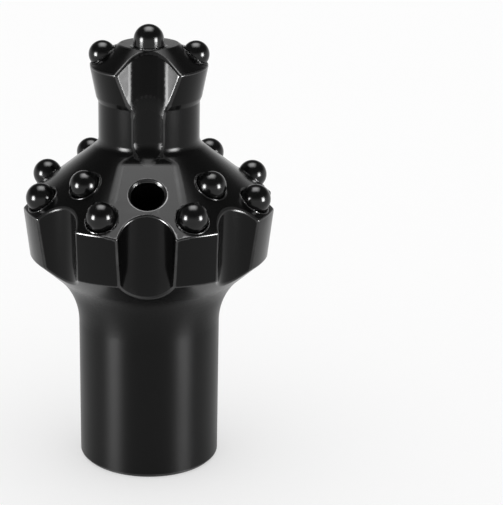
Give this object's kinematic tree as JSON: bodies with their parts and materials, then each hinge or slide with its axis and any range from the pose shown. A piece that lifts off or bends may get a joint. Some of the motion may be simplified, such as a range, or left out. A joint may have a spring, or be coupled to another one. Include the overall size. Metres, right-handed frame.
{
  "type": "button drill bit",
  "caption": "Step reaming button bit: a fluted reamer with round carbide buttons, a smaller pilot ahead of it, and a skirt with a socket for a drill rod.",
  "frame": {"origin": "centre of the skirt's end face, on the bit's axis", "axes": "+Z along the bit's axis towards the rock; the front face port opens towards -Y"},
  "size_m": [0.0972, 0.097, 0.1781],
  "materials": {
    "body_steel": "gloss black",
    "button_carbide": "polished black"
  },
  "bodies": {
    "root": {"bit_body": "body_steel", "reamer_gauge_button_1": "button_carbide", "reamer_gauge_button_2": "button_carbide", "reamer_gauge_button_3": "button_carbide", "reamer_gauge_button_4": "button_carbide", "reamer_gauge_button_5": "button_carbide", "reamer_gauge_button_6": "button_carbide", "reamer_gauge_button_7": "button_carbide", "reamer_gauge_button_8": "button_carbide", "reamer_front_button_1": "button_carbide", "reamer_front_button_2": "button_carbide", "reamer_front_button_3": "button_carbide", "reamer_front_button_4": "button_carbide", "pilot_gauge_button_1": "button_carbide", "pilot_gauge_button_2": "button_carbide", "pilot_front_button": "button_carbide"}
  },
  "joints": []
}
